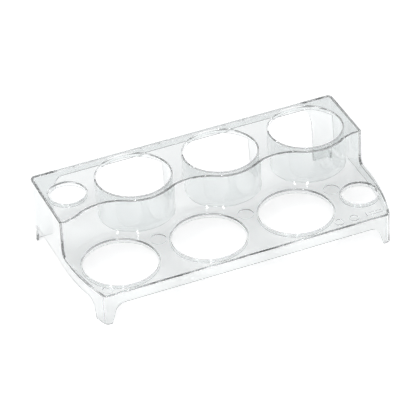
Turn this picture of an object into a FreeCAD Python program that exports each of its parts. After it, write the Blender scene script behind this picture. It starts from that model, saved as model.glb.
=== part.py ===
import FreeCAD, Part
import Sketcher
import math
import os
from FreeCAD import Rotation, Vector

# Two-tier clear plastic rack with open round holes, moulded in one shot.
# The moulding is modelled as its real features, each a solid that meets its neighbours
# face to face: two decks, the wavy step wall between them, side panels, skirts, legs,
# the half-round guards under the upper holes, the collars round every hole and the relief.
#
# Frame: origin on the floor under the middle of the rack, +X along its length,
# +Y to the back, +Z up.  Millimetres.

DIMENSIONS = {
    # outline
    "half_length": 88.0,
    "half_depth": 44.0,
    "corner_radius": 3.0,
    "side_arc_radius": 120.0,
    "side_arc_start_y": -3.6,
    "wall": 1.5,
    # heights
    "upper_deck_top": 40.0,
    "lower_deck_top": 18.8,
    "skirt_bottom": 11.5,
    "rail_bottom": 34.8,
    # holes: two rows, the upper one half a pitch to the right of the lower one
    "hole_pitch": 50.0,
    "row_spacing": 41.4,
    "lower_row_y": -19.7,
    "large_radius": 20.0,
    "small_radius": 10.0,
    "small_hole_offset": 74.8,
    "collar_wall": 0.8,
    "collar_depth": 1.5,
    # the wavy step wall runs concentric with the holes
    "bulge_radius": 23.7,
    # half-round guards under the large upper holes
    "guard_sweep": 210.0,
    # legs
    "back_leg_top_width": 12.6,
    "back_leg_foot_width": 11.3,
    "back_leg_side_top": 5.2,
    "back_leg_side_foot": 3.7,
    "cutout_corner_run": 5.0,
    "cutout_corner_drop": 12.0,
    "front_leg_top_width": 7.2,
    "front_leg_foot_width": 3.6,
    "front_leg_side_top": 10.0,
    "front_leg_side_foot": 8.0,
    "leg_flare_radius": 3.6,
    # dimples and marks on the lower deck
    "dimple_radius": 4.4,
    "corner_dimple_radius": 2.9,
    "dimple_depth": 0.5,
    "mark_height": 0.3,
    "mark_ring_radius": 2.7,
    "mark_line_width": 0.6,
}

doc = FreeCAD.newDocument("TwoTierRack")
sheet = doc.addObject("Spreadsheet::Sheet", "Dimensions")
for row, (alias, value) in enumerate(DIMENSIONS.items(), start=1):
    sheet.set(f"A{row}", alias)
    sheet.set(f"B{row}", str(value))
    sheet.setAlias(f"B{row}", alias)
doc.recompute()


def size(alias):
    """Value of one cell of the sheet, for what can't be bound by an expression."""
    return float(sheet.get(alias))


def cells(text):
    """Expression in which every alias is written out as a cell of the sheet."""
    for alias in sorted(DIMENSIONS, key=len, reverse=True):
        text = text.replace(f"[{alias}]", f"Dimensions.{alias}")
    return text


def bind(item, prop, text):
    item.setExpression(prop, cells(text))


def place(item, x="0", y="0", z="0"):
    bind(item, "Placement.Base.x", x)
    bind(item, "Placement.Base.y", y)
    bind(item, "Placement.Base.z", z)


# ---------------------------------------------------------------- derived expressions
LOWER_UNDER = "[lower_deck_top] - [wall]"
UPPER_UNDER = "[upper_deck_top] - [wall]"
UPPER_ROW_Y = "([lower_row_y] + [row_spacing])"
CENTRE_DISTANCE = "sqrt([hole_pitch] ^ 2 / 4 + [row_spacing] ^ 2)"
VALLEY_RADIUS = f"({CENTRE_DISTANCE} - [bulge_radius])"
# the arcs of the wave touch on the lines that join the hole centres, all at one y
TOUCH_Y = f"([lower_row_y] + {VALLEY_RADIUS} * [row_spacing] / {CENTRE_DISTANCE})"
LEFT_CREST_Y = f"({UPPER_ROW_Y} - [bulge_radius])"
RIGHT_VALLEY_Y = f"([lower_row_y] + {VALLEY_RADIUS})"

LOWER_PHASES = (-1.25, -0.25, 0.75)          # hole centres along the row, in pitches
UPPER_PHASES = (-0.75, 0.25, 1.25)
BULGE_PHASES = (-1.75,) + UPPER_PHASES
VALLEY_PHASES = LOWER_PHASES + (1.75,)

# how far a rounded corner reaches from its chord to the corner: just under a quarter circle
ROUND_HANDLE = 0.5523


# ---------------------------------------------------------------- small building blocks
def cylinder(name, radius, height, x, y, z):
    item = doc.addObject("Part::Cylinder", name)
    bind(item, "Radius", radius)
    bind(item, "Height", height)
    place(item, x, y, z)
    return item


def block(name, x_from, x_to, y_from, y_to, z_from, z_to):
    item = doc.addObject("Part::Box", name)
    bind(item, "Length", f"({x_to}) - ({x_from})")
    bind(item, "Width", f"({y_to}) - ({y_from})")
    bind(item, "Height", f"({z_to}) - ({z_from})")
    place(item, x_from, y_from, z_from)
    return item


def fuse(name, items):
    if len(items) == 1:
        return items[0]
    item = doc.addObject("Part::MultiFuse", name)
    item.Shapes = items
    item.Refine = True
    return item


def common(name, items):
    item = doc.addObject("Part::MultiCommon", name)
    item.Shapes = items
    item.Refine = True
    return item


def cut(name, base, tool):
    item = doc.addObject("Part::Cut", name)
    item.Base = base
    item.Tool = tool
    item.Refine = True
    return item


def origin_plane(body, role):
    return next(f for f in body.Origin.OriginFeatures if f.Role == role)


def sketch_on(body, role, name):
    sketch = body.newObject("Sketcher::SketchObject", name)
    sketch.AttachmentSupport = [(origin_plane(body, role), "")]
    sketch.MapMode = "FlatFace"
    return sketch


# ---------------------------------------------------------------- outline of the rack
def footprint(name, inset, z_from, z_to):
    """Plan outline, moved in by inset: straight at the back, sides that curve in at the front."""
    half_x = f"([half_length] - {inset})"
    half_y = f"([half_depth] - {inset})"
    height = f"({z_to}) - ({z_from})"
    back = block(name + "_back", f"-{half_x}", half_x, "[side_arc_start_y]", half_y, z_from, z_to)
    front = block(name + "_front", f"-{half_x}", half_x, f"-{half_y}", "[side_arc_start_y]",
                  z_from, z_to)
    radius = f"[side_arc_radius] - {inset}"
    centre = "([side_arc_radius] - [half_length])"
    left = cylinder(name + "_left_arc", radius, height, centre, "[side_arc_start_y]", z_from)
    right = cylinder(name + "_right_arc", radius, height, f"-{centre}", "[side_arc_start_y]",
                     z_from)
    tapered = common(name + "_tapered", [front, left, right])
    plain = fuse(name + "_plain", [back, tapered])
    doc.recompute()
    rounded = doc.addObject("Part::Fillet", name)
    rounded.Base = plain
    radius_here = size("corner_radius") - (size("wall") if inset != "0" else 0.0)
    reach = 0.9 * size("half_length")
    upright = [(number, radius_here, radius_here)
               for number, edge in enumerate(plain.Shape.Edges, start=1)
               if is_outer_corner(edge, reach)]
    rounded.Edges = upright
    return rounded


def is_outer_corner(edge, reach):
    """True for the four upright edges at the corners of the outline."""
    low, high = edge.Vertexes[0].Point, edge.Vertexes[-1].Point
    upright = abs(low.x - high.x) < 1e-6 and abs(low.y - high.y) < 1e-6
    corner_y = size("half_depth") - 2 * size("wall")
    return upright and abs(low.x) > reach and abs(low.y) > corner_y


def outline_shell(name, z_from, z_to):
    """Upright wall of one thickness that follows the outline."""
    outer = footprint(name + "_outer", "0", z_from, z_to)
    inner = footprint(name + "_inner", "[wall]", f"{z_from} - 1", f"{z_to} + 1")
    return cut(name, outer, inner)


def behind_wave(name, inset, z_from, z_to):
    """Everything behind the wavy step, with its face moved back by inset."""
    height = f"({z_to}) - ({z_from})"
    touch_y = f"{TOUCH_Y} + {inset} * [row_spacing] / {CENTRE_DISTANCE}"
    parts = [block(name + "_block", "-[half_length] - 5", "[half_length] + 5", touch_y,
                   "[half_depth] + 5", z_from, z_to)]
    for number, phase in enumerate(BULGE_PHASES):
        parts.append(cylinder(f"{name}_bulge_{number}", f"[bulge_radius] - {inset}", height,
                              f"{phase} * [hole_pitch]", UPPER_ROW_Y, z_from))
    valleys = [cylinder(f"{name}_valley_{number}", f"{VALLEY_RADIUS} + {inset}", f"{height} + 2",
                        f"{phase} * [hole_pitch]", "[lower_row_y]", f"{z_from} - 1")
               for number, phase in enumerate(VALLEY_PHASES)]
    return cut(name, fuse(name + "_bulges", parts), fuse(name + "_valleys", valleys))


def hole_tools(name, phases, row_y, small_x, z_from, z_to):
    """Cylinders that cut one row of holes: three large ones and a small one."""
    height = f"({z_to}) - ({z_from}) + 2"
    tools = [cylinder(f"{name}_{number}", "[large_radius]", height, f"{phase} * [hole_pitch]",
                      row_y, f"{z_from} - 1")
             for number, phase in enumerate(phases)]
    tools.append(cylinder(name + "_small", "[small_radius]", height, small_x, row_y,
                          f"{z_from} - 1"))
    return fuse(name, tools)


# ---------------------------------------------------------------- decks and step wall
nodes = []


def keep(label, item):
    """Give a finished sub-part its own name, which is also its file name."""
    item.Label = label
    nodes.append(item)
    return item


def make_upper_deck():
    z_range = (UPPER_UNDER, "[upper_deck_top]")
    plate = common("upper_plate", [footprint("upper_outline", "0", *z_range),
                                   behind_wave("upper_wave", "0", *z_range)])
    holes = hole_tools("upper_holes", UPPER_PHASES, UPPER_ROW_Y, "-[small_hole_offset]", *z_range)
    keep("upper_deck", cut("UpperDeck", plate, holes))


def dimple_tools():
    """Shallow round dimples between the holes, and one in the front left corner."""
    spots = [("[dimple_radius]", f"{phase} * [hole_pitch]", "[lower_row_y] + 9.2")
             for phase in UPPER_PHASES]
    spots.append(("[corner_dimple_radius]", "-[half_length] + 10.7", "-[half_depth] + 4.6"))
    return fuse("dimples", [
        cylinder(f"dimple_{number}", radius, "[dimple_depth] + 1", x, y,
                 "[lower_deck_top] - [dimple_depth]")
        for number, (radius, x, y) in enumerate(spots)])


def make_lower_deck():
    z_range = (LOWER_UNDER, "[lower_deck_top]")
    plate = cut("lower_plate", footprint("lower_outline", "0", *z_range),
                behind_wave("lower_wave", "0", f"{LOWER_UNDER} - 1", "[lower_deck_top] + 1"))
    holes = hole_tools("lower_holes", LOWER_PHASES, "[lower_row_y]", "[small_hole_offset]",
                       *z_range)
    keep("lower_deck", cut("LowerDeck", cut("lower_pierced", plate, holes), dimple_tools()))


def make_step_wall():
    band = cut("wave_band", behind_wave("step_face", "0", LOWER_UNDER, UPPER_UNDER),
               behind_wave("step_back", "[wall]", f"{LOWER_UNDER} - 1", f"{UPPER_UNDER} + 1"))
    inside = "([half_length] - [wall])"
    span = block("step_span", f"-{inside}", inside, "-[half_depth]", "[half_depth]",
                 LOWER_UNDER, UPPER_UNDER)
    keep("step_wall", common("StepWall", [band, span]))


# ---------------------------------------------------------------- sides, skirts and rail
BACK_CORNER_Y = "([half_depth] - [corner_radius] - 0.5)"
FRONT_CORNER_X = "([half_length] - 11)"
FRONT_CORNER_Y = "-([half_depth] - [corner_radius] - 1)"


def make_side_panels():
    shell = outline_shell("side_shell", "[skirt_bottom]", UPPER_UNDER)
    for side, sign, front_y in (("left", "-", LEFT_CREST_Y), ("right", "", RIGHT_VALLEY_Y)):
        edges = sorted_pair(sign, "([half_length] - 5)", "([half_length] + 1)")
        window = block(side + "_panel_window", *edges, front_y, BACK_CORNER_Y,
                       "[skirt_bottom]", UPPER_UNDER)
        keep(side + "_side_panel", common(side.title() + "SidePanel", [shell, window]))


def sorted_pair(sign, near, far):
    """Lower and upper limit of a span that is mirrored when sign is a minus."""
    return (f"-{far}", f"-{near}") if sign else (near, far)


def make_skirts():
    shell = outline_shell("skirt_shell", "[skirt_bottom]", LOWER_UNDER)
    front = block("front_skirt_window", f"-{FRONT_CORNER_X}", FRONT_CORNER_X,
                  "-[half_depth] - 1", "-[half_depth] + 5", "[skirt_bottom]", LOWER_UNDER)
    keep("front_skirt", common("FrontSkirt", [shell, front]))
    for side, sign, back_y in (("left", "-", LEFT_CREST_Y), ("right", "", RIGHT_VALLEY_Y)):
        edges = sorted_pair(sign, FRONT_CORNER_X, "([half_length] + 1)")
        window = block(side + "_skirt_window", *edges, "-[half_depth] - 1", back_y,
                       "[skirt_bottom]", LOWER_UNDER)
        keep(side + "_skirt", common(side.title() + "Skirt", [shell, window]))


RAIL_END_X = "([half_length] - [back_leg_top_width] - [cutout_corner_run])"


def make_back_rail():
    shell = outline_shell("rail_shell", "[rail_bottom]", UPPER_UNDER)
    window = block("rail_window", f"-{RAIL_END_X}", RAIL_END_X, "[half_depth] - 4",
                   "[half_depth] + 1", "[rail_bottom]", UPPER_UNDER)
    keep("back_rail", common("BackRail", [shell, window]))


# ---------------------------------------------------------------- legs
def prism(name, outline, rounded, depth_vector):
    """Straight prism over an outline of points; the corner numbered rounded becomes a
    smooth curve between its two neighbours."""
    edges = []
    for number, point in enumerate(outline):
        follower = outline[(number + 1) % len(outline)]
        if number == rounded:
            continue
        if number == rounded - 1:
            end = outline[rounded + 1]
            curve = Part.BezierCurve()
            curve.setPoles([point, point + (outline[rounded] - point) * ROUND_HANDLE,
                            end + (outline[rounded] - end) * ROUND_HANDLE, end])
            edges.append(curve.toShape())
        else:
            edges.append(Part.makeLine(point, follower))
    item = doc.addObject("Part::Feature", name)
    item.Shape = Part.Face(Part.Wire(edges)).extrude(depth_vector)
    return item


def along_edge(corner, end, reach):
    """Point at a given distance from a corner towards the end of an edge."""
    return corner + (end - corner).normalize() * reach


def make_back_legs():
    shell = outline_shell("back_leg_shell", "0", UPPER_UNDER)
    top = size("upper_deck_top") - size("wall")
    rail_z, skirt = size("rail_bottom"), size("skirt_bottom")
    edge_x, edge_y = size("half_length") + 1, size("half_depth") + 1
    run, drop = size("cutout_corner_run"), size("cutout_corner_drop")
    inner_top = size("half_length") - size("back_leg_top_width")
    inner_foot = size("half_length") - size("back_leg_foot_width")
    side_top = size("half_depth") - size("back_leg_side_top")
    side_foot = size("half_depth") - size("back_leg_side_foot")
    panel_y = size("half_depth") - size("corner_radius") - 0.5
    for side, sign in (("left", -1), ("right", 1)):
        corner = Vector(sign * inner_top, edge_y, rail_z)
        foot = Vector(sign * inner_foot, edge_y, 0)
        across = [Vector(sign * edge_x, edge_y, 0), Vector(sign * edge_x, edge_y, top),
                  Vector(sign * (inner_top - run), edge_y, top),
                  Vector(sign * (inner_top - run), edge_y, rail_z),
                  corner, along_edge(corner, foot, drop), foot]
        back_face = prism(side + "_back_leg_face", across, 4,
                          Vector(0, -2 * size("corner_radius"), 0))
        corner = Vector(sign * edge_x, side_top, skirt)
        foot = Vector(sign * edge_x, side_foot, 0)
        along = [Vector(sign * edge_x, edge_y, 0), Vector(sign * edge_x, edge_y, top),
                 Vector(sign * edge_x, panel_y, top), Vector(sign * edge_x, panel_y, skirt),
                 corner, along_edge(corner, foot, panel_y - side_top), foot]
        side_face = prism(side + "_back_leg_side", along, 4, Vector(-sign * 5, 0, 0))
        profile = fuse(side + "_back_leg_profile", [back_face, side_face])
        keep(f"back_{side}_leg", common(f"Back{side.title()}Leg", [shell, profile]))


def make_front_legs():
    shell = outline_shell("front_leg_shell", "0", "[skirt_bottom]")
    top = size("skirt_bottom")
    edge_x, edge_y = size("half_length"), size("half_depth") + 1
    arc_drop = size("half_depth") + size("side_arc_start_y")
    front_x = edge_x - size("side_arc_radius") * (1 - math.sqrt(
        1 - (arc_drop / size("side_arc_radius")) ** 2))
    flare = size("leg_flare_radius")
    for side, sign in (("left", -1), ("right", 1)):
        corner = Vector(sign * (front_x - size("front_leg_top_width")), -edge_y, top)
        foot = Vector(sign * (front_x - size("front_leg_foot_width")), -edge_y, 0)
        across = [Vector(sign * edge_x, -edge_y, 0), Vector(sign * edge_x, -edge_y, top),
                  corner - Vector(sign * flare, 0, 0), corner,
                  along_edge(corner, foot, flare), foot]
        front_face = prism(side + "_front_leg_face", across, 3,
                           Vector(0, 1 + size("wall"), 0))
        corner = Vector(sign * (edge_x + 1), size("front_leg_side_top") - edge_y + 1, top)
        foot = Vector(sign * (edge_x + 1), size("front_leg_side_foot") - edge_y + 1, 0)
        along = [Vector(sign * (edge_x + 1), -edge_y, 0),
                 Vector(sign * (edge_x + 1), -edge_y, top),
                 corner + Vector(0, flare, 0), corner, along_edge(corner, foot, flare), foot]
        side_face = prism(side + "_front_leg_side", along, 3, Vector(-sign * 11, 0, 0))
        profile = fuse(side + "_front_leg_profile", [front_face, side_face])
        keep(f"front_{side}_leg", common(f"Front{side.title()}Leg", [shell, profile]))


# ---------------------------------------------------------------- guards and collars
def make_collar(label, radius, x, y, z, room):
    """Ring under a deck round one hole, flush with the hole's wall and trimmed to the room
    inside the outer walls."""
    body = doc.addObject("PartDesign::Body", label + "_ring")
    sketch = sketch_on(body, "XY_Plane", label + "_profile")
    middle, up = Vector(0, 0, 0), Vector(0, 0, 1)
    for wall_radius in (radius, f"{radius} + [collar_wall]"):
        number = sketch.addGeometry(Part.Circle(middle, up, 10.0), False)
        sketch.addConstraint(Sketcher.Constraint("Coincident", number, 3, -1, 1))
        measure = sketch.addConstraint(Sketcher.Constraint("Radius", number, 10.0))
        bind(sketch, f"Constraints[{measure}]", wall_radius)
    pad = body.newObject("PartDesign::Pad", label + "_pad")
    pad.Profile = sketch
    bind(pad, "Length", "[collar_depth]")
    place(body, x, y, f"{z} - [collar_depth]")
    keep(label, common(label.title().replace("_", ""), [body, room]))


def make_collars():
    room = footprint("collar_room", "[wall]", f"{LOWER_UNDER} - [collar_depth]", UPPER_UNDER)
    for number, (low, high) in enumerate(zip(LOWER_PHASES, UPPER_PHASES), start=1):
        make_collar(f"lower_collar_{number}", "[large_radius]", f"{low} * [hole_pitch]",
                    "[lower_row_y]", LOWER_UNDER, room)
        make_collar(f"upper_collar_{number}", "[large_radius]", f"{high} * [hole_pitch]",
                    UPPER_ROW_Y, UPPER_UNDER, room)
    make_collar("lower_small_collar", "[small_radius]", "[small_hole_offset]", "[lower_row_y]",
                LOWER_UNDER, room)
    make_collar("upper_small_collar", "[small_radius]", "-[small_hole_offset]", UPPER_ROW_Y,
                UPPER_UNDER, room)


def make_guard(label, x):
    """Half-round wall that hangs from a collar and keeps what stands in the hole off the step."""
    body = doc.addObject("PartDesign::Body", label.title().replace("_", ""))
    sketch = sketch_on(body, "XZ_Plane", label + "_profile")
    corners = [Vector(20, 0, 0), Vector(21, 0, 0), Vector(21, 20, 0), Vector(20, 20, 0)]
    for number, corner in enumerate(corners):
        sketch.addGeometry(Part.LineSegment(corner, corners[(number + 1) % 4]), False)
    for number in range(4):
        sketch.addConstraint(Sketcher.Constraint("Coincident", number, 2, (number + 1) % 4, 1))
        sketch.addConstraint(Sketcher.Constraint("Horizontal" if number % 2 == 0 else "Vertical", number))
    measures = (("DistanceX", (-1, 1, 0, 1), "[large_radius]"),
                ("DistanceX", (0, 1, 0, 2), "[collar_wall]"),
                ("DistanceY", (1, 1, 1, 2), f"{UPPER_UNDER} - [collar_depth] - ({LOWER_UNDER})"))
    for kind, ends, text in measures:
        number = sketch.addConstraint(Sketcher.Constraint(kind, *ends, 5.0))
        bind(sketch, f"Constraints[{number}]", text)
    sketch.addConstraint(Sketcher.Constraint("DistanceY", -1, 1, 0, 1, 0.0))
    turn = body.newObject("PartDesign::Revolution", label + "_turn")
    turn.Profile = sketch
    turn.ReferenceAxis = (sketch, ["V_Axis"])
    bind(turn, "Angle", "[guard_sweep]")
    body.Placement.Rotation = Rotation(Vector(0, 0, 1), guard_start_angle())
    place(body, x, UPPER_ROW_Y, LOWER_UNDER)
    keep(label, body)


def guard_start_angle():
    """Angle at which the sweep starts, so that the guard is centred on the front."""
    return -90.0 - size("guard_sweep") / 2


def make_guards():
    for number, phase in enumerate(UPPER_PHASES, start=1):
        make_guard(f"hole_guard_{number}", f"{phase} * [hole_pitch]")


# ---------------------------------------------------------------- marks on the lower deck
def make_marks():
    """Plain raised marks at the front right: two rings, one upright bar and two long bars."""
    marks = []
    mark_y = "(-[half_depth] + 5)"
    for number, along in enumerate((34.2, 25.7)):
        x = f"[half_length] - {along}"
        outer = cylinder(f"mark_ring_{number}", "[mark_ring_radius]", "[mark_height]", x, mark_y,
                         "[lower_deck_top]")
        inner = cylinder(f"mark_ring_bore_{number}", "[mark_ring_radius] - [mark_line_width]",
                         "[mark_height] + 2", x, mark_y, "[lower_deck_top] - 1")
        marks.append(cut(f"mark_ring_shape_{number}", outer, inner))
    bars = ((18.6, 18.0, 3.6, 6.8), (16.2, 9.4, 3.6, 4.2), (16.2, 9.4, 5.6, 6.2))
    for number, (far, near, low, high) in enumerate(bars):
        marks.append(block(f"mark_bar_{number}", f"[half_length] - {far}",
                           f"[half_length] - {near}", f"-[half_depth] + {low}",
                           f"-[half_depth] + {high}", "[lower_deck_top]",
                           "[lower_deck_top] + [mark_height]"))
    keep("moulded_marks", fuse("MouldedMarks", marks))


# ---------------------------------------------------------------- build, check and write
def check_document():
    doc.recompute()
    for item in doc.Objects:
        if any(word in item.State for word in ("Invalid", "Error")):
            raise RuntimeError(f"{item.Name} failed: {item.State}")
    for item in nodes:
        shape = item.Shape
        if shape.isNull() or not shape.isValid() or not shape.Solids:
            raise RuntimeError(f"{item.Label} has no valid solid")


def write_parts():
    os.makedirs("parts", exist_ok=True)
    for item in nodes:
        item.Shape.exportStep(f"parts/{item.Label}.step")
        box = item.Shape.BoundBox
        print(f"{item.Label:20s} solids {len(item.Shape.Solids)} volume {item.Shape.Volume:9.1f}"
              f"  x {box.XMin:6.1f} {box.XMax:6.1f}  y {box.YMin:6.1f} {box.YMax:6.1f}"
              f"  z {box.ZMin:5.1f} {box.ZMax:5.1f}")


make_upper_deck()
make_lower_deck()
make_step_wall()
make_side_panels()
make_skirts()
make_back_rail()
make_back_legs()
make_front_legs()
make_collars()
make_guards()
make_marks()
check_document()
write_parts()
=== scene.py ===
"""Clear two-tier holder rack, moulded in one shot, on a pale floor.

The rack is one closed shell of clear polystyrene.  Every wall is worked out on a grid with
numpy: plan curves for the outline, the wavy step and the holes, each carried up or down to the
heights of the decks, skirts, legs, collars and guards.  Lengths are millimetres until the mesh is
written, and metres from there on.
"""

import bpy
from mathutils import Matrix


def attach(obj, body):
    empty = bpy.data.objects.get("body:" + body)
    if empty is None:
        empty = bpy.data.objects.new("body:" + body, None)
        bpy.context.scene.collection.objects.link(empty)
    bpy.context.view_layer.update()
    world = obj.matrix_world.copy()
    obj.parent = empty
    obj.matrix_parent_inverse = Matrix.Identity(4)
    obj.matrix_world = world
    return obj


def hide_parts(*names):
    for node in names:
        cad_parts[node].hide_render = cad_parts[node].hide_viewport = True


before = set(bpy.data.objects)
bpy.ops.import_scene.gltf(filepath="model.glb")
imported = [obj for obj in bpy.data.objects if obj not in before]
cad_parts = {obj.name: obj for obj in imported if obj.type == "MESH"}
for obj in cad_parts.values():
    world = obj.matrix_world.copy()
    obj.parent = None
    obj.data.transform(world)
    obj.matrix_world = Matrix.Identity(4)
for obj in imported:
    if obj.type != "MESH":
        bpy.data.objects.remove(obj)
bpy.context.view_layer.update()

import logging
import math
from dataclasses import dataclass, field
from enum import Enum

import bmesh
import bpy
import numpy as np
from mathutils import Matrix, Vector
from mathutils.geometry import tessellate_polygon

log = logging.getLogger("rack")
MM = 0.001
SAME_POINT = 1e-6
ROUND_HANDLE = 0.5523
# Millimetres: what counts as one level, as one radius, and a distance that cuts nothing off.
SAME_LEVEL = 0.01
SAME_RADIUS = 0.1
FAR_OFF = 99.0


# ---------------------------------------------------------------- curves in the plane
def arc(centre: tuple[float, float], radius: float, start: float, stop: float,
        count: int) -> np.ndarray:
    """Points on a circular arc: centre plus radius times (cos, sin) of evenly spaced angles.

    Args:
        centre: Centre of the circle.
        radius: Its radius.
        start: First angle in degrees.
        stop: Last angle in degrees.
        count: How many points, both ends included.

    Returns:
        A count by 2 array.
    """
    angle = np.radians(np.linspace(start, stop, count))
    return np.column_stack([centre[0] + radius * np.cos(angle),
                            centre[1] + radius * np.sin(angle)])


def circle(centre: tuple[float, float], radius: float, steps: int) -> np.ndarray:
    """Closed circle of points, the first of which is not repeated at the end."""
    return arc(centre, radius, 0.0, 360.0, steps + 1)[:-1]


def rounding(start: tuple[float, float], corner: tuple[float, float],
             end: tuple[float, float], count: int = 8) -> np.ndarray:
    """Nearly circular curve that replaces a corner: a cubic whose handles reach 0.5523 of the
    way to the corner.

    Args:
        start: Where the curve leaves the first side.
        corner: The corner that it rounds off.
        end: Where it joins the second side.
        count: Number of steps.

    Returns:
        A count + 1 by 2 array, both ends included.
    """
    first, middle, last = (np.asarray(point, float) for point in (start, corner, end))
    t = np.linspace(0.0, 1.0, count + 1)[:, None]
    handle_a = first + (middle - first) * ROUND_HANDLE
    handle_b = last + (middle - last) * ROUND_HANDLE
    return ((1 - t) ** 3 * first + 3 * (1 - t) ** 2 * t * handle_a
            + 3 * (1 - t) * t ** 2 * handle_b + t ** 3 * last)


def toward(corner: tuple[float, float], end: tuple[float, float], reach: float) -> np.ndarray:
    """Point at a distance from a corner on the line to an end: the corner plus the unit vector
    to the end times that distance."""
    base, far = np.asarray(corner, float), np.asarray(end, float)
    return base + (far - base) * reach / np.linalg.norm(far - base)


def inset(loop: np.ndarray, width: float, closed: bool = True) -> np.ndarray:
    """Counter-clockwise curve moved to its left by a width, with mitred corners: each point moves
    along the sum of its two edges' normals, divided by one plus their dot product.

    Args:
        loop: Points, n by 2.
        width: Distance to move.
        closed: Whether the last point joins the first.

    Returns:
        The moved points, n by 2.
    """
    after = np.roll(loop, -1, axis=0) - loop
    before = loop - np.roll(loop, 1, axis=0)
    if not closed:
        after[-1], before[0] = before[-1], after[0]
    normal_a = np.column_stack([-after[:, 1], after[:, 0]])
    normal_b = np.column_stack([-before[:, 1], before[:, 0]])
    normal_a /= np.linalg.norm(normal_a, axis=1, keepdims=True)
    normal_b /= np.linalg.norm(normal_b, axis=1, keepdims=True)
    spread = 1.0 + np.sum(normal_a * normal_b, axis=1, keepdims=True)
    return loop + width * (normal_a + normal_b) / spread


def lifted(loop: np.ndarray, height: float | np.ndarray) -> np.ndarray:
    """Plan points with a height as their third column."""
    return np.column_stack([loop, np.broadcast_to(height, len(loop))])


# ---------------------------------------------------------------- collecting the surfaces
@dataclass
class Patchwork:
    """Surfaces that share their edges, gathered into one closed mesh."""

    points: list[np.ndarray] = field(default_factory=list)
    faces: list[list[int]] = field(default_factory=list)
    count: int = 0

    def take(self, points: np.ndarray) -> int:
        """Add points.

        Args:
            points: The points, n by 3.

        Returns:
            The number of the first of them.
        """
        first = self.count
        self.points.append(points)
        self.count += len(points)
        return first

    def strip(self, rows: list[np.ndarray], closed: bool = False,
              skip: tuple[int, ...] = ()) -> None:
        """Quads between rows of points that have the same length.

        Args:
            rows: Rows of points, each n by 3.
            closed: Whether each row's last point joins its first.
            skip: Columns that are left open.
        """
        grid = np.stack(rows)
        height, width = grid.shape[:2]
        first = self.take(grid.reshape(-1, 3))
        columns = np.arange(width if closed else width - 1)
        columns = columns[~np.isin(columns, skip)]
        following = (columns + 1) % width
        for row in range(height - 1):
            low, high = first + row * width, first + (row + 1) * width
            quads = np.column_stack([low + columns, low + following,
                                     high + following, high + columns])
            self.faces.extend(quads.tolist())

    def polygon(self, points: np.ndarray) -> None:
        """One flat face with any number of corners."""
        first = self.take(points)
        self.faces.append(list(range(first, first + len(points))))

    def plate(self, rim: np.ndarray, holes: list[np.ndarray], height: float) -> None:
        """Level surface inside a rim and outside its holes, divided into triangles.

        Args:
            rim: Plan points of the rim.
            holes: Plan points of each hole.
            height: Its level.
        """
        loops = [lifted(loop, height) for loop in [rim, *holes]]
        first = self.take(np.concatenate(loops))
        triangles = tessellate_polygon([[Vector(p) for p in loop] for loop in loops])
        self.faces.extend([[first + a, first + b, first + c] for a, b, c in triangles])

    def mesh(self, name: str) -> bpy.types.Mesh:
        """One mesh in metres, with shared edges merged and all faces turned outwards.

        Args:
            name: The mesh's name.

        Returns:
            The closed mesh.
        """
        made = bpy.data.meshes.new(name)
        made.from_pydata((np.concatenate(self.points) * MM).tolist(), [], self.faces)
        work = bmesh.new()
        work.from_mesh(made)
        bmesh.ops.remove_doubles(work, verts=work.verts, dist=SAME_POINT)
        bmesh.ops.dissolve_degenerate(work, edges=work.edges, dist=SAME_POINT)
        bmesh.ops.recalc_face_normals(work, faces=work.faces)
        open_edges = sum(1 for edge in work.edges if len(edge.link_faces) != 2)
        if work.calc_volume(signed=True) < 0:
            bmesh.ops.reverse_faces(work, faces=work.faces)
        log.info("%s: %d faces, %d open edges, volume %.1f mm3", name, len(work.faces),
                 open_edges, work.calc_volume() / MM ** 3)
        work.to_mesh(made)
        work.free()
        return made


def read(items: bpy.types.bpy_prop_collection, name: str, width: int = 1,
         kind: type = float) -> np.ndarray:
    """One attribute of every item of a mesh.

    Args:
        items: The mesh's vertices, edges, loops or faces.
        name: The attribute's name.
        width: How many numbers each item has.
        kind: Their type.

    Returns:
        An array with a number, or a row of numbers, for each item.
    """
    values = np.empty(len(items) * width, kind)
    items.foreach_get(name, values)
    return values.reshape(-1, width) if width > 1 else values


# ---------------------------------------------------------------- the rack's own sizes
@dataclass(frozen=True)
class Heights:
    """Levels of the rack above the floor."""

    upper: float = 40.0
    lower: float = 18.8
    wall: float = 1.5
    skirt: float = 11.5
    rail: float = 34.8

    @property
    def upper_under(self) -> float:
        """Underside of the upper deck."""
        return self.upper - self.wall

    @property
    def lower_under(self) -> float:
        """Underside of the lower deck."""
        return self.lower - self.wall


@dataclass(frozen=True)
class LegCorner:
    """Rounded corner between the level lower edge of a wall and the sloping edge of a leg.

    All four numbers but the last are places along the wall: where the level edge ends, where it
    would meet the leg's edge, and where that edge stands on the floor.
    """

    level_end: float
    shoulder: float
    toe: float
    leg_reach: float
    steps: int = 8

    def curve(self, level: float, from_leg: bool = False) -> np.ndarray:
        """Points (place along the wall, height) of the rounding.

        Args:
            level: Height of the wall's level edge.
            from_leg: Whether the curve starts on the leg rather than on the level edge.

        Returns:
            The points, both ends included.
        """
        corner = (self.shoulder, level)
        on_leg = toward(corner, (self.toe, 0.0), self.leg_reach)
        on_edge = (self.level_end, level)
        start, end = (on_leg, on_edge) if from_leg else (on_edge, on_leg)
        return rounding(start, corner, end, self.steps)


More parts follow.
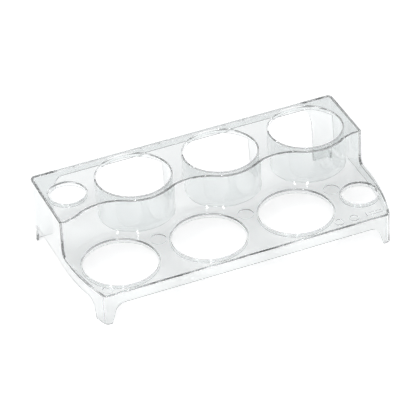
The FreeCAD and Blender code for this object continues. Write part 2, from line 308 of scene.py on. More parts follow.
@dataclass(frozen=True)
class Outline:
    """Plan outline with the lower edge of its wall: skirts, rail and legs.

    The stations are the places of points along straight or evenly curved runs.
    """

    half_length: float = 88.0
    half_depth: float = 44.0
    corner: float = 3.0
    corner_points: int = 8
    arc_radius: float = 120.0
    arc_y: float = -3.6
    between_decks_y: float = 10.0
    front_stations: tuple[float, ...] = (0.0, 14.0, 28.0, 42.0, 56.0)
    side_stations: tuple[float, ...] = (-25.0, -20.0, -15.0, -10.5, -6.5, 14.0, 26.0)
    back_stations: tuple[float, ...] = (52.0, 36.0, 18.0, 0.0)
    side_foot: float = -38.8
    back_foot: float = 80.0
    front_leg: LegCorner = LegCorner(70.0, 73.8, 77.4, 3.8)
    side_front_leg: LegCorner = LegCorner(-30.4, -34.0, -36.0, 3.6)
    side_back_leg: LegCorner = LegCorner(37.8, 38.8, 40.3, 1.0, 4)
    back_leg: LegCorner = LegCorner(70.4, 75.4, 76.7, 12.0)
    heights: Heights = Heights()

    @property
    def arc_x(self) -> float:
        """Where the right side's arc has its centre."""
        return self.half_length - self.arc_radius

    def side(self, edge: np.ndarray) -> tuple[np.ndarray, np.ndarray]:
        """The right side: straight behind the start of the arc, and on a circle about the arc's
        centre in front of it.

        Args:
            edge: The edge's points as (y, z).

        Returns:
            Points (x, y, z) and outward normals (x, y).
        """
        y = edge[:, 0]
        drop = np.minimum(y - self.arc_y, 0.0)
        reach = np.sqrt(self.arc_radius ** 2 - drop ** 2)
        points = np.column_stack([self.arc_x + reach, y, edge[:, 1]])
        return points, np.column_stack([reach, drop]) / self.arc_radius

    def right_half(self) -> tuple[np.ndarray, np.ndarray]:
        """The wall's lower edge from the middle of the front to the middle of the back.

        Returns:
            Points (x, y, z) and outward normals (x, y).
        """
        skirt, rail = self.heights.skirt, self.heights.rail
        lean = math.sqrt((self.arc_radius - self.corner) ** 2
                         - (self.corner - self.half_depth - self.arc_y) ** 2)
        turn_x, turn_y = self.arc_x + lean, self.corner - self.half_depth
        tilt = math.degrees(math.atan2(turn_y - self.arc_y, lean))
        front = np.concatenate([
            [(x, skirt) for x in self.front_stations],
            self.front_leg.curve(skirt),
            [(self.front_leg.toe, 0.0)]])
        right_side = np.concatenate([
            [(self.side_foot, 0.0), (self.side_front_leg.toe, 0.0)],
            self.side_front_leg.curve(skirt, from_leg=True),
            [(y, skirt) for y in self.side_stations],
            self.side_back_leg.curve(skirt),
            [(self.side_back_leg.toe, 0.0)]])
        back = np.concatenate([
            [(self.back_foot, 0.0), (self.back_leg.toe, 0.0)],
            self.back_leg.curve(rail, from_leg=True),
            [(x, rail) for x in self.back_stations]])
        near = arc((turn_x, turn_y), self.corner, -90.0, tilt, self.corner_points)
        far = arc((self.half_length - self.corner, self.half_depth - self.corner),
                  self.corner, 0.0, 90.0, self.corner_points)
        side_points, side_normals = self.side(right_side)
        ground = np.zeros(self.corner_points)
        points = np.concatenate([
            np.column_stack([front[:, 0], np.full(len(front), -self.half_depth), front[:, 1]]),
            lifted(near, ground), side_points, lifted(far, ground),
            np.column_stack([back[:, 0], np.full(len(back), self.half_depth), back[:, 1]])])
        normals = np.concatenate([
            np.tile((0.0, -1.0), (len(front), 1)),
            arc((0, 0), 1.0, -90.0, tilt, self.corner_points),
            side_normals,
            arc((0, 0), 1.0, 0.0, 90.0, self.corner_points),
            np.tile((0.0, 1.0), (len(back), 1))])
        return points, normals

    def loop(self) -> tuple[np.ndarray, np.ndarray]:
        """The whole lower edge, counter-clockwise from the middle of the front, the left half
        being the right one mirrored.

        Returns:
            Points (x, y, z) and outward normals (x, y).
        """
        points, normals = self.right_half()
        mirrored = slice(-2, 0, -1)
        return (np.concatenate([points, points[mirrored] * (-1, 1, 1)]),
                np.concatenate([normals, normals[mirrored] * (-1, 1)]))


@dataclass(frozen=True)
class Holes:
    """Both rows of holes: half a pitch apart, with the small hole at opposite ends."""

    pitch: float = 50.0
    shift: float = 0.25
    lower_y: float = -19.7
    upper_y: float = 21.7
    radius: float = 20.0
    small_radius: float = 10.0
    small_x: float = 74.8
    collar: float = 0.8
    depth: float = 3.0
    steps: int = 96
    small_steps: int = 64

    def centres(self, upper: bool) -> np.ndarray:
        """Centres of a row's three large holes: whole pitches, moved by a quarter to the right
        in the upper row and to the left in the lower one.

        Args:
            upper: The upper row if true.

        Returns:
            A 3 by 2 array.
        """
        shift = self.shift if upper else -self.shift
        x = (np.arange(3) - 1 + shift) * self.pitch
        return np.column_stack([x, np.full(3, self.upper_y if upper else self.lower_y)])

    def row(self, upper: bool) -> list[tuple[np.ndarray, float]]:
        """Centre and radius of each hole of a row, the small one last.

        Args:
            upper: The upper row if true.

        Returns:
            The four pairs, from left to right but for the small hole.
        """
        large = self.centres(upper)
        small = np.array([self.small_x * (-1.0 if upper else 1.0), large[0, 1]])
        return [(centre, self.radius) for centre in large] + [(small, self.small_radius)]


@dataclass(frozen=True)
class Relief:
    """Shallow round dimples and plain raised marks on the lower deck."""

    dimple_depth: float = 0.5
    dimple_behind: float = 9.2
    dimple_radius: float = 4.4
    corner_dimple: tuple[float, float] = (-77.3, -39.4)
    corner_dimple_radius: float = 2.9
    dimple_steps: int = 48
    mark_height: float = 0.25
    rings: tuple[tuple[float, float], ...] = ((53.8, -39.0), (62.3, -39.0))
    ring_outside: float = 2.7
    ring_inside: float = 2.1
    ring_steps: int = 40
    bars: tuple[tuple[tuple[float, float], tuple[float, float]], ...] = (
        ((69.7, -40.1), (69.7, -37.5)),
        ((72.1, -40.1), (78.3, -40.1)),
        ((72.1, -38.1), (78.3, -38.1)))
    bar_half: float = 0.3
    bar_points: int = 7
    edge_round: float = 0.12
    edge_band: tuple[float, float] = (0.1, 0.5)
    holes: Holes = Holes()

    def dimples(self) -> list[tuple[tuple[float, float], float]]:
        """Centre and radius of each dimple: one behind each gap, and one in the corner."""
        y = self.holes.lower_y + self.dimple_behind
        made = [((x, y), self.dimple_radius) for x in self.holes.centres(True)[:, 0]]
        made.append((self.corner_dimple, self.corner_dimple_radius))
        return made

    def bar(self, start: tuple[float, float], end: tuple[float, float]) -> np.ndarray:
        """Loop round a straight bar: half a circle about its end, then half about its start.

        Args:
            start: Middle of one end.
            end: Middle of the other.

        Returns:
            Plan points, counter-clockwise.
        """
        heading = math.degrees(math.atan2(end[1] - start[1], end[0] - start[0]))
        side, turned = heading - 90.0, heading + 90.0
        return np.concatenate([arc(end, self.bar_half, side, turned, self.bar_points),
                               arc(start, self.bar_half, turned, heading + 270.0,
                                   self.bar_points)])

    def carve(self, skin: Patchwork, level: float) -> list[np.ndarray]:
        """Put the dimples and the marks on the deck.

        Args:
            skin: Where the surfaces go.
            level: Height of the deck's upper surface.

        Returns:
            The loops that they cut out of the deck.
        """
        loops = []
        for centre, radius in self.dimples():
            loop = circle(centre, radius, self.dimple_steps)
            floor = level - self.dimple_depth
            skin.strip([lifted(loop, level), lifted(loop, floor)], closed=True)
            skin.polygon(lifted(loop, floor))
            loops.append(loop)
        top = level + self.mark_height
        for centre in self.rings:
            loop = circle(centre, self.ring_outside, self.ring_steps)
            bore = circle(centre, self.ring_inside, self.ring_steps)
            skin.strip([lifted(loop, level), lifted(loop, top), lifted(bore, top),
                        lifted(bore, level)], closed=True)
            skin.polygon(lifted(bore, level))
            loops.append(loop)
        for start, end in self.bars:
            loop = self.bar(start, end)
            skin.strip([lifted(loop, level), lifted(loop, top)], closed=True)
            skin.polygon(lifted(loop, top))
            loops.append(loop)
        return loops


@dataclass(frozen=True)
class Wave:
    """The step's face: arcs round the upper holes and arcs round the lower holes in turn, each
    touching the next on the line between their centres."""

    bulge: float = 23.7
    steps: int = 26
    arcs: int = 8
    outermost: float = 1.75
    end_room: float = 1.6
    point_room: float = 0.4
    outline: Outline = Outline()
    holes: Holes = Holes()

    def face(self, back: float) -> np.ndarray:
        """Plan curve from left to right, moved back by a distance.

        A point on a bulge is the upper centre plus its radius times (cos, sin); on a valley it is
        the lower centre plus the remaining distance between the centres times the same.

        Args:
            back: Distance behind the step's front face; negative is in front of it.

        Returns:
            Plan points, the ends lying in the planes of the side walls.
        """
        half = self.holes.pitch / 2
        rise = self.holes.upper_y - self.holes.lower_y
        span = math.hypot(half, rise)
        lean = math.degrees(math.atan2(half, rise))
        bulge, valley = self.bulge - back, span - self.bulge + back
        end_x = self.outline.half_length - max(back, 0.0)
        overrun = math.degrees((end_x - self.outermost * self.holes.pitch) / self.bulge)
        final = self.arcs - 1
        pieces = []
        for number in range(self.arcs):
            x = (number / 2 - self.outermost) * self.holes.pitch
            first = abs(overrun) if number == 0 else lean
            last = overrun if number == final else lean
            if number % 2 == 0:
                curve = arc((x, self.holes.upper_y), bulge, -90.0 - first, -90.0 + last,
                            self.steps + 1)
            else:
                curve = arc((x, self.holes.lower_y), valley, 90.0 + first, 90.0 - last,
                            self.steps + 1)
            pieces.append(curve if number == final else curve[:-1])
        line = np.concatenate(pieces)
        return self.trimmed(line, end_x, bulge, valley)

    def trimmed(self, line: np.ndarray, end_x: float, bulge: float,
                valley: float) -> np.ndarray:
        """Curve cut off at the side walls, with its last points set in the walls' planes and the
        next ones far enough in for the rounded edge.

        Args:
            line: The whole curve.
            end_x: Where the right side wall's plane is.
            bulge: Radius of the arcs round the upper holes.
            valley: Radius of the arcs round the lower holes.

        Returns:
            The curve between the walls.
        """
        room = end_x - self.end_room
        inner = line[np.abs(line[:, 0]) < room - self.point_room]
        offset = np.array([end_x, room]) - self.outermost * self.holes.pitch
        left_y = self.holes.upper_y - np.sqrt(bulge ** 2 - offset ** 2)
        right_y = self.holes.lower_y + np.sqrt(valley ** 2 - offset ** 2)
        left = np.column_stack([[-end_x, -room], left_y])
        right = np.column_stack([[room, end_x], right_y[::-1]])
        return np.concatenate([left, inner, right])


# ---------------------------------------------------------------- the moulding
@dataclass
class Moulding:
    """The whole rack as one shell with an outer and an inner skin."""

    heights: Heights = Heights()
    outline: Outline = Outline()
    holes: Holes = Holes()
    wave: Wave = Wave()
    edge_round: float = 0.6
    rim_round: float = 0.18
    wall_round: float = 0.4
    deck_ring: float = 1.25
    hole_ring: float = 0.5
    rim_ring: float = 0.8
    base_fillet: float = 2.8
    under_fillet: float = 3.8
    fillet_points: int = 7
    guard_end: float = 17.3
    guard_from: float = 164.9
    guard_to: float = 15.1
    rail_gap: float = 0.3
    skirt_gap: float = 0.25
    least_facing: float = 0.2
    convex_angle: float = 30.0
    smooth_angle: float = 32.0
    round_steps: int = 4
    area_weight: int = 100
    relief: Relief = Relief()

    def edge_band(self, path: np.ndarray, along: np.ndarray,
                  closed: float) -> tuple[np.ndarray, np.ndarray]:
        """A line just above a wall's lower edge, at an even distance from it in the unrolled
        wall, so that the edge can be rounded evenly round legs and guards.

        Args:
            path: Height of the lower edge at each point.
            along: Distance of each point along the wall.
            closed: Length of the whole closed wall.

        Returns:
            Distance along the wall and height of each point of the line.
        """
        unrolled = np.column_stack([along, path])
        padded = np.concatenate([unrolled[-1:] - (closed, 0), unrolled,
                                 unrolled[:1] + (closed, 0)])
        moved = inset(padded, self.rim_ring, closed=False)[1:-1]
        return moved[:, 0], moved[:, 1]

    def walls(self, skin: Patchwork) -> None:
        """Outer and inner side walls, their lower rim, and what joins them to the step.

        Args:
            skin: Where the surfaces go.
        """
        points, normals = self.outline.loop()
        inner = points.copy()
        inner[:, :2] -= normals * self.heights.wall
        leap = np.roll(points, -1, axis=0) - points
        length = np.hypot(leap[:, 0], leap[:, 1])
        along = np.concatenate([[0.0], np.cumsum(length)[:-1]])
        total = float(length.sum())
        band_s, band_z = self.edge_band(points[:, 2], along, total)
        number = np.interp(band_s, np.concatenate([along - total, along, along + total]),
                           np.arange(3 * len(along)) - len(along))
        behind = points[:, 1] > self.outline.between_decks_y
        gaps = tuple(np.flatnonzero(behind != np.roll(behind, -1)).tolist())
        for line, top_back, top_front, outer in (
                (points, self.heights.upper, self.heights.lower, True),
                (inner, self.heights.upper_under, self.heights.lower_under, False)):
            band = np.column_stack([self.between(line[:, 0], number),
                                    self.between(line[:, 1], number), band_z])
            top = lifted(line[:, :2], np.where(behind, top_back, top_front))
            skin.strip([line, band], closed=True)
            skin.strip([band, top], closed=True, skip=gaps)
            for gap in gaps:
                follower = (gap + 1) % len(line)
                chain = self.step_end(outer, right=line[gap, 0] > 0)
                if line[gap, 0] < 0:
                    chain = chain[::-1]
                skin.polygon(np.concatenate([
                    [top[gap]], [band[gap]], [band[follower]], [top[follower]],
                    chain[::-1]]))
        skin.strip([points, inner], closed=True)

    @staticmethod
    def between(values: np.ndarray, number: np.ndarray) -> np.ndarray:
        """Values of a closed row at fractional places in it, joined by straight lines."""
        size = len(values)
        return np.interp(number, np.arange(-size, 2 * size), np.tile(values, 3))

    def step_rows(self, outer: bool) -> list[np.ndarray]:
        """Rows of the step's front face, or of its back face, from the top to where it has
        turned into the lower deck in a quarter circle.

        Args:
            outer: The front face if true.

        Returns:
            Rows of points from left to right.
        """
        back = 0.0 if outer else self.heights.wall
        radius = self.base_fillet if outer else self.under_fillet
        top = self.heights.upper if outer else self.heights.upper_under
        base = self.heights.lower if outer else self.heights.lower_under
        rows = [lifted(self.wave.face(back), top)]
        for angle in np.radians(np.linspace(0.0, 90.0, self.fillet_points)):
            line = self.offset_face(back, radius * (1 - math.cos(angle)))
            rows.append(lifted(line, base + radius * (1 - math.sin(angle))))
        return rows

    def offset_face(self, back: float, forward: float) -> np.ndarray:
        """The step's curve moved forward from one of its faces, its ends kept in the planes of
        the side walls.

        Args:
            back: Distance of the face behind the step's front face.
            forward: How far to move it.

        Returns:
            Plan points from left to right.
        """
        base = self.wave.face(back)
        moved = inset(base, -forward, closed=False)
        moved[[0, 1, -2, -1], 0] = base[[0, 1, -2, -1], 0]
        return moved

    def step_end(self, outer: bool, right: bool) -> np.ndarray:
        """The line in which the step meets a side wall, from the lower deck to the top.

        Args:
            outer: The front face if true.
            right: The right side wall if true.

        Returns:
            The line's points.
        """
        rows = self.step_rows(outer)
        column = -1 if right else 0
        return np.stack([row[column] for row in rows])[::-1]

    def step(self, skin: Patchwork) -> None:
        """Both faces of the wavy step."""
        skin.strip(self.step_rows(outer=True))
        skin.strip(self.step_rows(outer=False))

    def deck_curves(self, outer: bool, upper: bool) -> tuple[np.ndarray, np.ndarray]:
        """The two open curves that bound a deck: along the outline and along the step.

        Args:
            outer: The upper surface if true, the underside if false.
            upper: The upper deck if true.

        Returns:
            The outline's part counter-clockwise with both its ends on the step, and the step's
            part in the same turning sense.
        """
        points, normals = self.outline.loop()
        line = points[:, :2] - (0.0 if outer else self.heights.wall) * normals
        rows = self.step_rows(outer)
        if upper:
            edge = rows[0][:, :2]
            outside = line[points[:, 1] > self.outline.between_decks_y]
            return np.concatenate([edge[-1:], outside, edge[:1]]), edge
        edge = rows[-1][::-1, :2]
        behind = points[:, 1] > self.outline.between_decks_y
        middle = len(line) - np.argmax(behind[::-1])
        turned = np.roll(line, -middle, axis=0)
        depth = np.roll(points[:, 1], -middle)
        outside = turned[depth < self.outline.between_decks_y]
        return np.concatenate([edge[-1:], outside, edge[:1]]), edge

    def decks(self, skin: Patchwork) -> None:
        """Upper surfaces and undersides of both decks, with everything that is cut into them.

        Args:
            skin: Where the surfaces go.
        """
        for upper in (True, False):
            level = self.heights.upper if upper else self.heights.lower
            around, edge = self.deck_curves(outer=True, upper=upper)
            openings = self.row(skin, upper)
            if upper:
                rim = np.concatenate([around[:-1], edge[:-1]])
                inner_rim = inset(rim, self.deck_ring)
                skin.strip([lifted(rim, level), lifted(inner_rim, level)], closed=True)
            else:
                moved = inset(around, self.deck_ring, closed=False)
                moved[0], moved[-1] = edge[-2], edge[1]
                skin.strip([lifted(around, level), lifted(moved, level)])
                inner_rim = np.concatenate([moved[:-1], edge[1:-2]])
            relief = [] if upper else self.relief.carve(skin, level)
            skin.plate(inner_rim, [ring for ring, _ in openings] + relief, level)
            around, edge = self.deck_curves(outer=False, upper=upper)
            skin.plate(np.concatenate([around[:-1], edge[:-1]]),
                       [collar for _, collar in openings], level - self.heights.wall)

    def cut_off(self, centre: np.ndarray, upper: bool, small: bool) -> tuple[float, float]:
        """The straight line that keeps a hole's collar clear of the nearest outer wall.

        Args:
            centre: The hole's centre.
            upper: Whether it is in the upper deck.
            small: Whether it is the small hole.

        Returns:
            Direction in degrees and distance of the line from the centre.
        """
        if upper and not small:
            return 90.0, (self.outline.half_depth - self.heights.wall - centre[1]
                          - self.rail_gap)
        if upper:
            return 180.0, FAR_OFF
        if not small:
            return 0.0, FAR_OFF
        away = centre - (self.outline.arc_x, self.outline.arc_y)
        return (math.degrees(math.atan2(away[1], away[0])),
                self.outline.arc_radius - self.heights.wall
                - float(np.linalg.norm(away)) - self.skirt_gap)

    def row(self, skin: Patchwork, upper: bool) -> list[tuple[np.ndarray, np.ndarray]]:
        """All holes of one deck.

        Args:
            skin: Where the surfaces go.
            upper: The upper deck if true.

        Returns:
            For each hole its loop on the deck and its collar's loop on the underside.
        """
        made = []
        for centre, radius in self.holes.row(upper):
            small = radius == self.holes.small_radius
            steps = self.holes.small_steps if small else self.holes.steps
            made.append(self.hole(skin, centre, radius, steps, upper, upper and not small,
                                  self.cut_off(centre, upper, small)))
        return made

    def hole(self, skin: Patchwork, centre: np.ndarray, radius: float, count: int,
             upper: bool, guarded: bool,
             limit: tuple[float, float]) -> tuple[np.ndarray, np.ndarray]:
        """One hole's wall with its collar, and its half-round guard if it has one.

        The wall is a circle carried down to a depth that depends on the angle; the collar's
        outer face is a slightly larger circle, cut off by a straight line near an outer wall.

        Args:
            skin: Where the surfaces go.
            centre: The hole's centre.
            radius: Its radius.
            count: Number of steps round it.
            upper: Whether it is in the upper deck.
            guarded: Whether a guard hangs from its front half.
            limit: Direction in degrees and distance of the line that cuts the collar off.

        Returns:
            The loop round the hole on the deck, and the collar's loop on the underside.
        """
        level = self.heights.upper if upper else self.heights.lower
        step = 360.0 / count
        angle = np.radians(np.arange(count) * step)
        degrees = np.degrees(angle)
        low = np.full(count, level - self.holes.depth)
        if guarded:
            low[(degrees > self.guard_from) | (degrees < self.guard_to)] = self.guard_end
        band_s, band_z = self.edge_band(low, angle * radius, 2 * math.pi * radius)
        facing = np.cos(angle - math.radians(limit[0]))
        far = np.where(facing > self.least_facing,
                       limit[1] / np.maximum(facing, self.least_facing), FAR_OFF)
        outer = np.minimum(radius + self.holes.collar, far)
        band_angle = band_s / radius
        band_outer = np.interp(np.mod(band_angle, 2 * math.pi),
                               np.append(angle, 2 * math.pi), np.append(outer, outer[0]))

        def ring(at: np.ndarray, reach: float | np.ndarray) -> np.ndarray:
            """Plan points at angles and distances from the centre."""
            return centre + np.column_stack([np.cos(at), np.sin(at)]) * np.reshape(reach, (-1, 1))

        on_deck = ring(angle, radius + self.hole_ring)
        collar = ring(angle, outer)
        rim = ring(angle, radius)
        skin.strip([lifted(on_deck, level), lifted(rim, level),
                    lifted(ring(band_angle, radius), band_z), lifted(rim, low),
                    lifted(collar, low), lifted(ring(band_angle, band_outer), band_z),
                    lifted(collar, level - self.heights.wall)], closed=True)
        return on_deck, collar

    def weights(self, ends: np.ndarray) -> np.ndarray:
        """How strongly each edge would be rounded, by where it lies: the outer edges most, the
        rims of walls and holes less, and the dimples not at all.

        Args:
            ends: Both ends of each edge in millimetres, n by 2 by 3.

        Returns:
            The share of the largest rounding for each edge.
        """
        middle, level = ends.mean(axis=1), ends[:, :, 2]
        top, lower = level.max(axis=1), self.heights.lower

        def near(centre: np.ndarray, reach: float) -> np.ndarray:
            """Edges whose middle is within a distance of a centre in plan."""
            return np.hypot(*(middle[:, :2] - centre).T) < reach

        in_hole, at_hole, in_dimple, on_deck = np.zeros((4, len(ends)), bool)
        for centre, radius in self.relief.dimples():
            in_dimple |= near(centre, radius + SAME_RADIUS) & (top < lower + SAME_LEVEL)
        for upper in (True, False):
            height = self.heights.upper if upper else lower
            flat = np.all(np.abs(level - height) < SAME_LEVEL, axis=1)
            on_deck |= flat
            for centre, radius in self.holes.row(upper):
                in_hole |= flat & near(centre, radius + SAME_RADIUS)
                at_hole |= near(centre, radius + self.holes.collar + SAME_RADIUS / 2)
        at_side = np.abs(middle[:, 0]) > self.outline.half_length - 2 * SAME_LEVEL
        above_skirts = level.min(axis=1) > lower - SAME_LEVEL
        large = above_skirts & (at_side | on_deck) & ~in_hole
        rim = np.where(at_hole, self.rim_round, self.wall_round)
        share = np.where(large, 1.0, rim / self.edge_round)
        low, high = self.relief.edge_band
        on_mark = (top > lower + low) & (top < lower + high) & ~at_side
        share = np.where(on_mark, self.relief.edge_round / self.edge_round, share)
        return np.where(in_dimple, 0.0, share)

    def round_edges(self, body: bpy.types.Mesh) -> None:
        """Bevel weights for the convex edges; inner corners stay sharp.

        An edge is convex when the cross product of its two faces' normals points the way in
        which the first face runs along it.

        Args:
            body: The closed mesh.
        """
        edge_of = read(body.loops, "edge_index", kind=np.int32)
        totals = read(body.polygons, "loop_total", kind=np.int32)
        normals = read(body.polygons, "normal", 3)
        verts = read(body.vertices, "co", 3) / MM
        starts = read(body.loops, "vertex_index", kind=np.int32)
        ends = read(body.edges, "vertices", 2, np.int32)
        face_of = np.repeat(np.arange(len(totals)), totals)
        order = np.argsort(edge_of, kind="stable").reshape(-1, 2)
        first, second = normals[face_of[order[:, 0]]], normals[face_of[order[:, 1]]]
        along = verts[ends[:, 1]] - verts[ends[:, 0]]
        along *= np.where(starts[order[:, 0]] == ends[:, 0], 1.0, -1.0)[:, None]
        turn = np.sum(np.cross(first, second) * along, axis=1)
        sharp = np.sum(first * second, axis=1) < math.cos(math.radians(self.convex_angle))
        weight = np.where(sharp & (turn > 0), self.weights(verts[ends]), 0.0)
        layer = body.attributes.new("bevel_weight_edge", "FLOAT", "EDGE")
        layer.data.foreach_set("value", weight.astype(np.float32))

    def build(self) -> bpy.types.Object:
        """The finished shell with rounded edges.

        Returns:
            The rack's object, at the origin.
        """
        skin = Patchwork()
        self.walls(skin)
        self.step(skin)
        self.decks(skin)
        body = skin.mesh("rack_skin")
        self.round_edges(body)
        draft = bpy.data.objects.new("rack_draft", body)
        bpy.context.scene.collection.objects.link(draft)
        bevel = draft.modifiers.new("edges", "BEVEL")
        bevel.limit_method = "WEIGHT"
        bevel.width = self.edge_round * MM
        bevel.segments = self.round_steps
        bevel.use_clamp_overlap = False
        shaped = bpy.data.meshes.new_from_object(
            draft.evaluated_get(bpy.context.evaluated_depsgraph_get()))
        bpy.data.objects.remove(draft)
        shaped.name = "clear_rack"
        shaped.shade_smooth()
        shaped.set_sharp_from_angle(angle=math.radians(self.smooth_angle))
        rack = bpy.data.objects.new("clear_rack", shaped)
        bpy.context.scene.collection.objects.link(rack)
        even = rack.modifiers.new("even_shading", "WEIGHTED_NORMAL")
        even.keep_sharp = True
        even.weight = self.area_weight
        log.info("clear_rack: %d faces", len(shaped.polygons))
        return rack

    def dress(self, rack: bpy.types.Object) -> None:
        """Give the shell its one finish."""
        rack.data.materials.append(ClearPolystyrene().material())


# ---------------------------------------------------------------- finishes
def linear(hex_colour: str) -> tuple[float, float, float, float]:
    """Linear colour of an sRGB hex value: each channel divided by 12.92 when it is dark, and
    otherwise ((value + 0.055) / 1.055) to the power 2.4.

    Args:
        hex_colour: Such as "#F7F7F7".

    Returns:
        Red, green, blue and an alpha of one.
    """
    value = np.array([int(hex_colour[i:i + 2], 16) for i in (1, 3, 5)]) / 255.0
    bright = ((value + 0.055) / 1.055) ** 2.4
    return (*np.where(value <= 0.04045, value / 12.92, bright).tolist(), 1.0)


def add_node(tree: bpy.types.NodeTree, kind: str, settings: dict | None = None,
             values: dict | None = None, links: dict | None = None) -> bpy.types.Node:
    """Add a shader node.

    Args:
        tree: Where it goes.
        kind: Its type.
        settings: Properties to set.
        values: Values for its inputs.
        links: Outputs of other nodes to join to its inputs.

    Returns:
        The node.
    """
    node = tree.nodes.new(kind)
    for key, value in (settings or {}).items():
        setattr(node, key, value)
    for key, value in (values or {}).items():
        node.inputs[key].default_value = value
    for key, source in (links or {}).items():
        tree.links.new(source, node.inputs[key])
    return node


@dataclass(frozen=True)
class ClearPolystyrene:
    """Crystal polystyrene, injection moulded in a polished tool: water-clear, hard and glossy.

    Its index of 1.59 gives bright edges and reflections.  The melt freezes with a slight
    waviness over centimetres, which makes the reflections swim, and the tool's polish leaves a
    faint fine texture, drawn coarser than it is so that it shows.  Light that travels far inside
    a wall is greyed, which darkens the edges.
    """

    colour: str = "#F1F3F3"
    index: float = 1.59
    roughness_low: float = 0.02
    roughness_high: float = 0.06
    wave_mm: float = 14.0
    wave_detail: float = 2.0
    wave_depth_mm: float = 0.06
    wave_strength: float = 0.25
    polish_mm: float = 1.2
    polish_detail: float = 3.0
    polish_low: float = 0.35
    polish_high: float = 0.7
    grey: str = "#505252"
    grey_per_metre: float = 8.0

    def material(self) -> bpy.types.Material:
        """Build the material.

        Returns:
            The material, reading Object coordinates.
        """
        made = bpy.data.materials.new("clear moulded polystyrene")
        made.use_nodes = True
        tree = made.node_tree
        tree.nodes.clear()
        place = add_node(tree, "ShaderNodeTexCoord")
        swim = add_node(tree, "ShaderNodeTexNoise",
                        values={"Scale": 1.0 / (self.wave_mm * MM),
                                "Detail": self.wave_detail},
                        links={"Vector": place.outputs["Object"]})
        polish = add_node(tree, "ShaderNodeTexNoise",
                          values={"Scale": 1.0 / (self.polish_mm * MM),
                                  "Detail": self.polish_detail},
                          links={"Vector": place.outputs["Object"]})
        rough = add_node(tree, "ShaderNodeMapRange",
                         values={"From Min": self.polish_low, "From Max": self.polish_high,
                                 "To Min": self.roughness_low, "To Max": self.roughness_high},
                         links={"Value": polish.outputs["Fac"]})
        bump = add_node(tree, "ShaderNodeBump",
                        values={"Strength": self.wave_strength,
                                "Distance": self.wave_depth_mm * MM},
                        links={"Height": swim.outputs["Fac"]})
        shader = add_node(tree, "ShaderNodeBsdfPrincipled",
                          values={"Base Color": linear(self.colour), "IOR": self.index,
                                  "Transmission Weight": 1.0},
                          links={"Roughness": rough.outputs["Result"],
                                 "Normal": bump.outputs["Normal"]})
        depth = add_node(tree, "ShaderNodeVolumeAbsorption",
                         values={"Color": linear(self.grey), "Density": self.grey_per_metre})
        add_node(tree, "ShaderNodeOutputMaterial",
                 links={"Surface": shader.outputs["BSDF"], "Volume": depth.outputs["Volume"]})
        return made


@dataclass(frozen=True)
class PaleFloor:
    """Matt white studio table that glows a little, as if lit evenly from beneath, so that clear
    walls show by their edges."""

    colour: str = "#F7F7F7"
    roughness: float = 0.9
    specular: float = 0.1
    glow: float = 0.55

    def material(self) -> bpy.types.Material:
        """Build the material."""
        made = bpy.data.materials.new("matt white floor")
        made.use_nodes = True
        shader = made.node_tree.nodes["Principled BSDF"]
        shader.inputs["Base Color"].default_value = linear(self.colour)
        shader.inputs["Roughness"].default_value = self.roughness
        shader.inputs["Specular IOR Level"].default_value = self.specular
        shader.inputs["Emission Color"].default_value = linear(self.colour)
        shader.inputs["Emission Strength"].default_value = self.glow
        return made


# ---------------------------------------------------------------- the studio
class Lamp(Enum):
    """Narrow soft lights: place, what they point at, width, height (metres), power (watts)."""

    NEAR = ((-0.50, -1.40, 1.30), (0.0, 0.0, 0.0), 0.07, 2.4, 10.0)
    LEFT = ((-1.30, -0.85, 1.20), (0.0, 0.0, 0.0), 0.07, 2.4, 10.0)


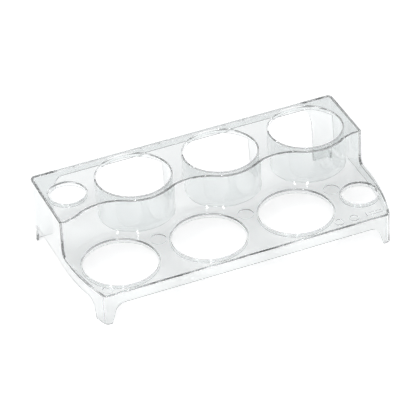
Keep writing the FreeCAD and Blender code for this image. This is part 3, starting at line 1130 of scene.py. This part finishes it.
@dataclass(frozen=True)
class Studio:
    """Floor, light and camera."""

    camera_place: tuple[float, float, float] = (-0.43848, -1.09990, 0.88261)
    right: tuple[float, float, float] = (0.91831777, -0.39390248, -0.03915744)
    up: tuple[float, float, float] = (0.26157423, 0.52960274, 0.80690759)
    lens: float = 236.9
    sensor: float = 36.0
    nearest: float = 0.05
    farthest: float = 50.0
    room: str = "#F6F7F8"
    horizon: float = 0.28
    zenith: float = 0.50
    focus: float = 2.0
    bounces: int = 32
    floor_size: float = 12.0
    floor_gap: float = 0.03

    def build(self) -> None:
        """Set everything up round the rack."""
        self.floor()
        self.lights()
        self.camera()

    def floor(self) -> None:
        """A wide level floor, a hair below the rack's feet so that no faces coincide."""
        half = self.floor_size / 2
        low = -self.floor_gap * MM
        mesh = bpy.data.meshes.new("floor")
        mesh.from_pydata([(-half, -half, low), (half, -half, low), (half, half, low),
                          (-half, half, low)], [], [(0, 1, 2, 3)])
        mesh.materials.append(PaleFloor().material())
        floor = bpy.data.objects.new("floor", mesh)
        bpy.context.scene.collection.objects.link(floor)

    def lights(self) -> None:
        """The room's light, the soft lamps, and enough bounces for light inside clear walls.

        The room is dim at the horizon and bright overhead: its strength is the horizon's plus
        the zenith's times a power of the height of the direction.
        """
        scene = bpy.context.scene
        world = bpy.data.worlds.new("room")
        world.use_nodes = True
        tree = world.node_tree
        back = tree.nodes["Background"]
        back.inputs["Color"].default_value = linear(self.room)
        sight = add_node(tree, "ShaderNodeTexCoord")
        parts = add_node(tree, "ShaderNodeSeparateXYZ",
                         links={"Vector": sight.outputs["Generated"]})
        above = add_node(tree, "ShaderNodeMath", {"operation": "MAXIMUM"}, {1: 0.0},
                         {0: parts.outputs["Z"]})
        rise = add_node(tree, "ShaderNodeMath", {"operation": "POWER"}, {1: self.focus},
                        {0: above.outputs["Value"]})
        total = add_node(tree, "ShaderNodeMath", {"operation": "MULTIPLY_ADD"},
                         {1: self.zenith, 2: self.horizon}, {0: rise.outputs["Value"]})
        tree.links.new(total.outputs["Value"], back.inputs["Strength"])
        scene.world = world
        scene.view_settings.view_transform = "Standard"
        cycles = scene.cycles
        cycles.max_bounces = self.bounces
        cycles.glossy_bounces = self.bounces
        cycles.transmission_bounces = self.bounces
        for lamp in Lamp:
            place, target, width, height, power = lamp.value
            data = bpy.data.lights.new(lamp.name.lower(), "AREA")
            data.shape = "RECTANGLE"
            data.size = width
            data.size_y = height
            data.energy = power
            light = bpy.data.objects.new(lamp.name.lower(), data)
            light.location = place
            aim = Vector(target) - Vector(place)
            light.rotation_euler = aim.to_track_quat("-Z", "Y").to_euler()
            scene.collection.objects.link(light)

    def camera(self) -> None:
        """Camera with its axes given by the right and up directions."""
        data = bpy.data.cameras.new("camera")
        data.lens = self.lens
        data.sensor_width = self.sensor
        data.clip_start = self.nearest
        data.clip_end = self.farthest
        camera = bpy.data.objects.new("camera", data)
        right, up = Vector(self.right), Vector(self.up)
        turn = Matrix((right, up, right.cross(up))).transposed()
        camera.matrix_world = Matrix.Translation(self.camera_place) @ turn.to_4x4()
        bpy.context.scene.collection.objects.link(camera)
        bpy.context.scene.camera = camera


def main() -> None:
    """Build the rack and the studio."""
    logging.basicConfig(level=logging.INFO, format="%(name)s %(message)s")
    moulding = Moulding()
    rack = moulding.build()
    moulding.dress(rack)
    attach(rack, "root")
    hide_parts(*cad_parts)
    Studio().build()


if __name__ == "__main__":
    main()
